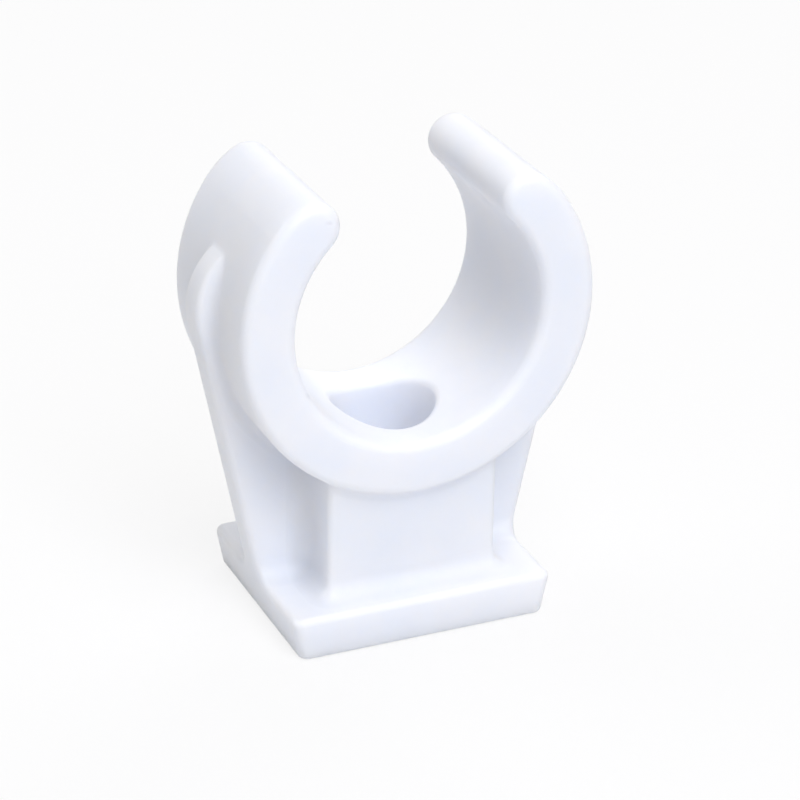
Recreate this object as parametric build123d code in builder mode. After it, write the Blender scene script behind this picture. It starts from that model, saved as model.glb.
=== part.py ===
from build123d import *
from math import acos, atan, atan2, cos, degrees, radians, sin
import os

# Snap-in clip for one pipe, moulded as one piece: an open ring with two round lips, carried by a
# thin web with leaning sides, a block around the screw hole and a flat plate that goes on the wall.
# Millimetres. The origin is the middle of the plate's underside, +Z points away from the wall and
# the pipe lies along Y.

# Driving dimensions of the ring
pipe_diameter = 20.0
pipe_grip = 0.2
ring_wall = 4.2
ring_width = 14.4
axis_height = 25.5
rim_round = 0.75

# Driving dimensions of the two lips
lip_angle = 45.0
lip_taper = 0.25
lip_shoulder_radius = 7.2

# Driving dimensions of the web
web_thickness = 2.8
web_overhang = 1.4
web_bend_drop = 0.9
web_bend_radius = 6.0

# Driving dimensions of the screw block and its stepped hole
block_width = 13.7
block_depth = 12.2
block_edge_round = 0.4
head_hole_diameter = 8.0
head_seat_height = 10.0
shank_hole_diameter = 4.0
hole_mouth_round = 0.6

# Driving dimensions of the plate
plate_length = 20.0
plate_depth = 17.2
plate_thickness = 3.4
plate_corner_radius = 0.8
plate_underside_round = 0.3

# Driving dimensions of the rounded outline edges and of the inner corners
edge_round = 0.55
foot_fillet = 1.6
ring_fillet = 1.0

# Sizes that follow from them; the bore is a little tighter than the pipe, so the ring grips it
bore_radius = pipe_diameter / 2 - pipe_grip
ring_radius = bore_radius + ring_wall
middle_radius = bore_radius + ring_wall / 2
lip_radius = (ring_wall - lip_taper) / 2
lip_reach = bore_radius + lip_radius
side_slope = (ring_radius + web_overhang - plate_length / 2) / axis_height
side_lean = degrees(atan(side_slope))

# Front view with its zero on the pipe's axis
front = Plane(origin=(0, 0, axis_height), x_dir=(1, 0, 0), z_dir=(0, -1, 0))


def polar(radius, angle):
    """The point of the front view at this distance and angle from the pipe's axis."""
    return Vector(radius * cos(radians(angle)), radius * sin(radians(angle)))


def mirrored(point):
    """The same point on the other side of the front view."""
    return Vector(-point.X, point.Y)


def corner_angle(side_a, side_b, opposite):
    """The angle between two sides of a triangle, in degrees."""
    return degrees(acos((side_a**2 + side_b**2 - opposite**2) / (2 * side_a * side_b)))


def direction(start, end):
    """The direction from one point of the front view to another, in degrees."""
    return degrees(atan2(end.Y - start.Y, end.X - start.X))


def half_width(height):
    """Half the distance between the leaning sides at this height above the wall."""
    return plate_length / 2 + height * side_slope


def distance_aside(edge):
    """How far the middle of an edge is from the clip's middle plane across the pipe."""
    return abs(edge.center().Y)


# Right lip: an outer shoulder and a round tip that runs into the bore, each arc tangent to the next
tip_centre = polar(lip_reach, lip_angle)
shoulder_offset = ring_radius - lip_shoulder_radius
shoulder_angle = lip_angle - corner_angle(shoulder_offset, lip_reach, lip_shoulder_radius - lip_radius)
shoulder_centre = polar(shoulder_offset, shoulder_angle)
tip_start = direction(shoulder_centre, tip_centre)
bore_end = polar(bore_radius, lip_angle)

with BuildPart() as ring:
    with BuildSketch(front):
        with BuildLine():
            shoulder = CenterArc(
                shoulder_centre, lip_shoulder_radius, shoulder_angle, tip_start - shoulder_angle
            )
            CenterArc(tip_centre, lip_radius, tip_start, lip_angle + 180 - tip_start)
            mirror(about=Plane.YZ)
            ThreePointArc(shoulder @ 0, (0, -ring_radius), mirrored(shoulder @ 0))
            ThreePointArc(bore_end, (0, -bore_radius), mirrored(bore_end))
        make_face()
    extrude(amount=ring_width / 2, both=True)
    fillet(ring.faces().filter_by(Axis.Y).edges(), rim_round)

# Right side of the web: a leaning side and a bend that runs into the ring
web_foot = Vector(half_width(0), -axis_height)
bend_start = Vector(half_width(axis_height - web_bend_drop), -web_bend_drop)
bend_centre = bend_start + polar(web_bend_radius, 180 - side_lean)
end_turn = corner_angle(bend_centre.length, middle_radius, web_bend_radius)
bend_end = polar(middle_radius, direction(Vector(0, 0), bend_centre) + end_turn)
bend_sweep = direction(bend_centre, bend_end) + side_lean

with BuildPart() as stem:
    with BuildSketch(front):
        with BuildLine():
            Line(web_foot, bend_start)
            CenterArc(bend_centre, web_bend_radius, -side_lean, bend_sweep)
            mirror(about=Plane.YZ)
            Line(web_foot, mirrored(web_foot))
            ThreePointArc(bend_end, (0, -middle_radius), mirrored(bend_end))
        make_face()
    extrude(amount=web_thickness / 2, both=True)
    with BuildSketch():
        Rectangle(block_width, block_depth)
    extrude(amount=axis_height)
    with BuildSketch(front):
        Circle(middle_radius)
    extrude(amount=block_depth, both=True, mode=Mode.SUBTRACT)
    fillet(stem.edges().filter_by(Axis.Z).group_by(distance_aside)[-1], block_edge_round)
    fillet(stem.edges().filter_by(Axis.Z).group_by(distance_aside)[0], foot_fillet)

# The plate's ends carry on the web's leaning sides
with BuildPart() as plate:
    with BuildSketch(Plane.XZ):
        with BuildLine():
            Polyline(
                (half_width(0), 0),
                (half_width(plate_thickness), plate_thickness),
                (-half_width(plate_thickness), plate_thickness),
                (-half_width(0), 0),
                close=True,
            )
        make_face()
    extrude(amount=plate_depth / 2, both=True)
    leaning_edges = plate.edges().filter_by(Axis.X, reverse=True).filter_by(Axis.Y, reverse=True)
    fillet(leaning_edges, plate_corner_radius)

with BuildPart() as clip:
    add(plate.part)
    add(stem.part)
    fillet(clip.edges(Select.NEW), foot_fillet)
    # One chain of edges on each side runs up the web and along the plate's top
    straight = clip.edges().filter_by(GeomType.LINE).filter_by(Axis.Y, reverse=True)
    leaning = straight.filter_by(Axis.X, reverse=True).filter_by(Axis.Z, reverse=True)
    fillet(leaning.group_by(distance_aside)[0], edge_round)
    fillet(clip.faces().sort_by(Axis.Z)[0].edges(), plate_underside_round)
    add(ring.part)
    fillet(clip.edges(Select.NEW), ring_fillet)
    # The screw goes in through the ring, and its head sits on the step inside the block
    with Locations((0, 0, axis_height)):
        CounterBoreHole(
            radius=shank_hole_diameter / 2,
            counter_bore_radius=head_hole_diameter / 2,
            counter_bore_depth=axis_height - head_seat_height,
        )
    above_bore = clip.edges(Select.NEW).filter_by(
        lambda edge: edge.center().Z > axis_height - bore_radius
    )
    fillet(above_bore, hole_mouth_round)

clip.part.label = "clip_body"
os.makedirs("parts", exist_ok=True)
export_step(clip.part, "parts/clip_body.step")
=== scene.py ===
from math import cos, radians, sin

import bpy
from mathutils import Matrix, Vector


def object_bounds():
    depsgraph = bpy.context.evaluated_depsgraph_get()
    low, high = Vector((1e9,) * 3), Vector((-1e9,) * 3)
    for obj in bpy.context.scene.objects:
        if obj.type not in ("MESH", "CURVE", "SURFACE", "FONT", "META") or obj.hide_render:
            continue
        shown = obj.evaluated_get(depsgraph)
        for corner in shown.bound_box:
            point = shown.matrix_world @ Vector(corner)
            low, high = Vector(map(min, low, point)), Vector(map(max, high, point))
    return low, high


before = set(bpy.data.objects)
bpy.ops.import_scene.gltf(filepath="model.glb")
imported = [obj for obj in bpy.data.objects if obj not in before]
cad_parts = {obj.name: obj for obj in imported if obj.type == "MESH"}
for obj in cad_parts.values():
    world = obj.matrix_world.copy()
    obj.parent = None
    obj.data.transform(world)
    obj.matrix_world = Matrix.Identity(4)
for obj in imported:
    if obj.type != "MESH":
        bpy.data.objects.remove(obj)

# Pipe clip in white plastic on a pale floor. Metres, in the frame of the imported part: the origin is
# the middle of the plate's underside, +Z points up to the ring's mouth and the pipe lies along Y.

cad_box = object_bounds()
scene = bpy.context.scene
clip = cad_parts["clip_body"]
MM = 0.001

# Camera of the photograph
PICTURE_SIDE = 800
FOCAL_PIXELS = 3011.157
SENSOR_WIDTH = 36.0
CAMERA_AZIMUTH = radians(-23.991)
CAMERA_ELEVATION = radians(25.702)
CAMERA_ROLL = radians(0.972)
CAMERA_DISTANCE = 228.93 * MM
CAMERA_TARGET = Vector((1.452, 0.0, 15.801)) * MM

# Two small marks on the ring, bumped in and darkened with painted shade in their colour: a dimple in the
# left lip's front and a nick in the bore's front edge
LIP_DIMPLE = {
    "centre": Vector((-7.4, -7.2, 34.35)) * MM,
    "half_sizes": Vector((0.5, 0.5, 0.28)) * MM,
    "slant": 0.0,
}
BORE_NICK = {
    "centre": Vector((-8.65, -6.9, 20.85)) * MM,
    "half_sizes": Vector((0.8, 0.5, 0.22)) * MM,
    "slant": -37.0,
}

# Studio lamps: azimuth and elevation in degrees as seen from the clip, watts and colour
LAMPS = {
    "high_front": (0, 64, 2.75, (1.0, 0.97, 0.98)),
    "front": (0, 38, 3.0, (0.88, 0.92, 1.0)),
    "back_right": (135, 38, 1.3, (0.98, 0.97, 0.98)),
    "back_left": (-135, 38, 1.1, (0.98, 0.97, 0.95)),
    "high_back": (180, 64, 0.9, (0.94, 0.95, 1.0)),
}
LAMP_DISTANCE = 0.8
LAMP_SIZE = 0.5

# Light of the surround on the clip
AMBIENT = 0.16
AMBIENT_COLOUR = (1.0, 0.98, 0.94)

# Floor
FLOOR_SIDE = 4.0
FLOOR_GAP = 0.1 * MM
FLOOR_GREY = 0.88
FLOOR_LIFT = 0.8


def direction_of(azimuth, elevation):
    """The unit vector from the clip towards that azimuth and elevation; azimuth 0 is the front."""
    return Vector((sin(azimuth) * cos(elevation), -cos(azimuth) * cos(elevation), sin(elevation)))


def add_node(tree, kind, **values):
    """A new shader node with its named inputs or settings filled in."""
    node = tree.nodes.new(kind)
    for name, value in values.items():
        words = name.replace("_", " ").title()
        if words in node.inputs:
            node.inputs[words].default_value = value
        else:
            setattr(node, name, value)
    return node


def ramp(tree, source, low, high, low_colour, high_colour):
    """A colour ramp from one grey or colour to another between two levels of the source."""
    node = tree.nodes.new("ShaderNodeValToRGB")
    first, last = node.color_ramp.elements
    first.position, last.position = low, high
    first.color, last.color = (*low_colour, 1), (*high_colour, 1)
    tree.links.new(source, node.inputs["Fac"])
    return node.outputs["Color"]


def spread(tree, source, low, high):
    """The source's 0 to 1 spread between two values."""
    node = tree.nodes.new("ShaderNodeMapRange")
    node.inputs["To Min"].default_value = low
    node.inputs["To Max"].default_value = high
    tree.links.new(source, node.inputs["Value"])
    return node.outputs["Result"]


def bumped(tree, height, strength, distance, below=None):
    """A bump of that height source, laid over the normal below it."""
    node = tree.nodes.new("ShaderNodeBump")
    node.inputs["Strength"].default_value = strength
    node.inputs["Distance"].default_value = distance
    tree.links.new(height, node.inputs["Height"])
    if below:
        tree.links.new(below, node.inputs["Normal"])
    return node.outputs["Normal"]


def noise(tree, place, feature, detail=2.0, roughness=0.5):
    """Noise whose features are about that many metres across."""
    node = add_node(tree, "ShaderNodeTexNoise", scale=1 / feature, detail=detail, roughness=roughness)
    tree.links.new(place, node.inputs["Vector"])
    return node.outputs["Fac"]


def mark(tree, place, centre, half_sizes, slant):
    """1 in the middle of a small oval mark and 0 around it; the slant turns it in the front view."""
    offset = add_node(tree, "ShaderNodeVectorMath", operation="SUBTRACT")
    offset.inputs[1].default_value = centre
    turned = add_node(tree, "ShaderNodeVectorRotate", rotation_type="Y_AXIS", angle=radians(slant))
    scaled = add_node(tree, "ShaderNodeVectorMath", operation="DIVIDE")
    scaled.inputs[1].default_value = half_sizes
    length = add_node(tree, "ShaderNodeVectorMath", operation="LENGTH")
    fade = add_node(tree, "ShaderNodeMapRange", interpolation_type="SMOOTHSTEP", from_min=1.0, from_max=0.0)
    tree.links.new(place, offset.inputs[0])
    tree.links.new(offset.outputs["Vector"], turned.inputs["Vector"])
    tree.links.new(turned.outputs["Vector"], scaled.inputs[0])
    tree.links.new(scaled.outputs["Vector"], length.inputs[0])
    tree.links.new(length.outputs["Value"], fade.inputs["Value"])
    return fade.outputs["Result"]


def larger(tree, first, second):
    """The larger of two values."""
    node = add_node(tree, "ShaderNodeMath", operation="MAXIMUM")
    tree.links.new(first, node.inputs[0])
    tree.links.new(second, node.inputs[1])
    return node.outputs["Value"]


def moulded_plastic():
    """White plastic with a faint drift of tint, uneven satin gloss, sink marks, fine grain and two dents
    whose colour is darkened with painted shade.
    """
    material = bpy.data.materials.new("white_polypropylene")
    material.use_nodes = True
    tree = material.node_tree
    shader = tree.nodes["Principled BSDF"]
    shader.inputs["IOR"].default_value = 1.49
    shader.inputs["Subsurface Weight"].default_value = 1.0
    shader.inputs["Subsurface Scale"].default_value = 2.0 * MM
    shader.inputs["Subsurface Radius"].default_value = (1.0, 0.95, 0.9)
    place = tree.nodes.new("ShaderNodeTexCoord").outputs["Object"]
    cool_white = (0.83, 0.855, 0.93)
    plain_white = (0.865, 0.877, 0.925)
    dent_shade_grey = (0.55, 0.56, 0.58)
    tint = ramp(tree, noise(tree, place, 7 * MM, detail=3.0), 0.36, 0.64, cool_white, plain_white)
    dents = larger(tree, mark(tree, place, **LIP_DIMPLE), mark(tree, place, **BORE_NICK))
    # Painted shade: the base colour darkens to grey inside the dimple and the nick, in place of the shade in
    # their hollows.
    dent_shade_mix = add_node(tree, "ShaderNodeMixRGB", color2=(*dent_shade_grey, 1))
    tree.links.new(spread(tree, dents, 0.0, 0.2), dent_shade_mix.inputs["Fac"])
    tree.links.new(tint, dent_shade_mix.inputs["Color1"])
    tree.links.new(dent_shade_mix.outputs["Color"], shader.inputs["Base Color"])
    gloss = spread(tree, noise(tree, place, 3 * MM, detail=4.0), 0.34, 0.5)
    tree.links.new(gloss, shader.inputs["Roughness"])
    sink = bumped(tree, noise(tree, place, 5 * MM), 0.25, 0.12 * MM)
    grain = bumped(tree, noise(tree, place, 0.22 * MM, detail=3.0), 0.12, 0.02 * MM, sink)
    dent = bumped(tree, spread(tree, dents, 1.0, 0.0), 1.0, 0.06 * MM, grain)
    tree.links.new(dent, shader.inputs["Normal"])
    return material


def seen_directly(tree):
    """1 for rays from the camera, a reflection or a clear material, and 0 for the light on the clip."""
    path = tree.nodes.new("ShaderNodeLightPath")
    total = path.outputs["Is Camera Ray"]
    for name in ("Is Glossy Ray", "Is Transmission Ray"):
        total = larger(tree, total, path.outputs[name])
    return total


def pale_floor():
    """A pale matt floor that reads as white to the camera and keeps a faint shadow."""
    material = bpy.data.materials.new("pale_floor")
    material.use_nodes = True
    tree = material.node_tree
    shader = tree.nodes["Principled BSDF"]
    shader.inputs["Base Color"].default_value = (FLOOR_GREY, FLOOR_GREY, FLOOR_GREY, 1)
    shader.inputs["Roughness"].default_value = 0.9
    shader.inputs["Specular IOR Level"].default_value = 0.0
    glow = tree.nodes.new("ShaderNodeEmission")
    mix = tree.nodes.new("ShaderNodeMixShader")
    tree.links.new(spread(tree, seen_directly(tree), 0.0, FLOOR_LIFT), mix.inputs["Fac"])
    tree.links.new(shader.outputs["BSDF"], mix.inputs[1])
    tree.links.new(glow.outputs["Emission"], mix.inputs[2])
    tree.links.new(mix.outputs["Shader"], tree.nodes["Material Output"].inputs["Surface"])
    return material


def add_floor():
    """The floor under the clip."""
    half = FLOOR_SIDE / 2
    mesh = bpy.data.meshes.new("floor")
    corners = [(-half, -half, 0), (half, -half, 0), (half, half, 0), (-half, half, 0)]
    mesh.from_pydata(corners, [], [(0, 1, 2, 3)])
    floor = bpy.data.objects.new("floor", mesh)
    floor.location.z = -FLOOR_GAP
    floor.data.materials.append(pale_floor())
    scene.collection.objects.link(floor)


def add_world():
    """A white surround, with only a little light of its own on the clip."""
    world = bpy.data.worlds.new("surround")
    scene.world = world
    world.use_nodes = True
    tree = world.node_tree
    background = tree.nodes["Background"]
    direct = seen_directly(tree)
    tint = ramp(tree, direct, 0.0, 1.0, AMBIENT_COLOUR, (1, 1, 1))
    tree.links.new(tint, background.inputs["Color"])
    tree.links.new(spread(tree, direct, AMBIENT, 1.0), background.inputs["Strength"])


def add_lamp(name, azimuth, elevation, watts, colour):
    """A round soft lamp that faces the middle of the clip."""
    data = bpy.data.lights.new(name, "AREA")
    data.shape = "DISK"
    data.size = LAMP_SIZE
    data.energy = watts
    data.color = colour
    lamp = bpy.data.objects.new(name, data)
    toward = direction_of(radians(azimuth), radians(elevation))
    middle = (cad_box[0][2] + cad_box[1][2]) / 2
    lamp.location = Vector((0, 0, middle)) + toward * LAMP_DISTANCE
    lamp.rotation_euler = toward.to_track_quat("Z", "Y").to_euler()
    scene.collection.objects.link(lamp)


def add_camera():
    """The photograph's camera, turned a little about its own line of sight."""
    data = bpy.data.cameras.new("camera")
    data.sensor_width = SENSOR_WIDTH
    data.lens = FOCAL_PIXELS * SENSOR_WIDTH / PICTURE_SIDE
    data.clip_start = 10 * MM
    data.clip_end = 2 * FLOOR_SIDE
    camera = bpy.data.objects.new("camera", data)
    back = direction_of(CAMERA_AZIMUTH, CAMERA_ELEVATION)
    aside = (-back).cross(Vector((0, 0, 1))).normalized()
    upward = aside.cross(-back)
    right = aside * cos(CAMERA_ROLL) + upward * sin(CAMERA_ROLL)
    up = upward * cos(CAMERA_ROLL) - aside * sin(CAMERA_ROLL)
    turn = Matrix((right, up, back)).transposed().to_4x4()
    camera.matrix_world = Matrix.Translation(CAMERA_TARGET + back * CAMERA_DISTANCE) @ turn
    scene.collection.objects.link(camera)
    scene.camera = camera


clip.data.materials.clear()
clip.data.materials.append(moulded_plastic())
add_floor()
add_world()
for lamp_name, lamp_values in LAMPS.items():
    add_lamp(lamp_name, *lamp_values)
add_camera()
scene.view_settings.view_transform = "Standard"
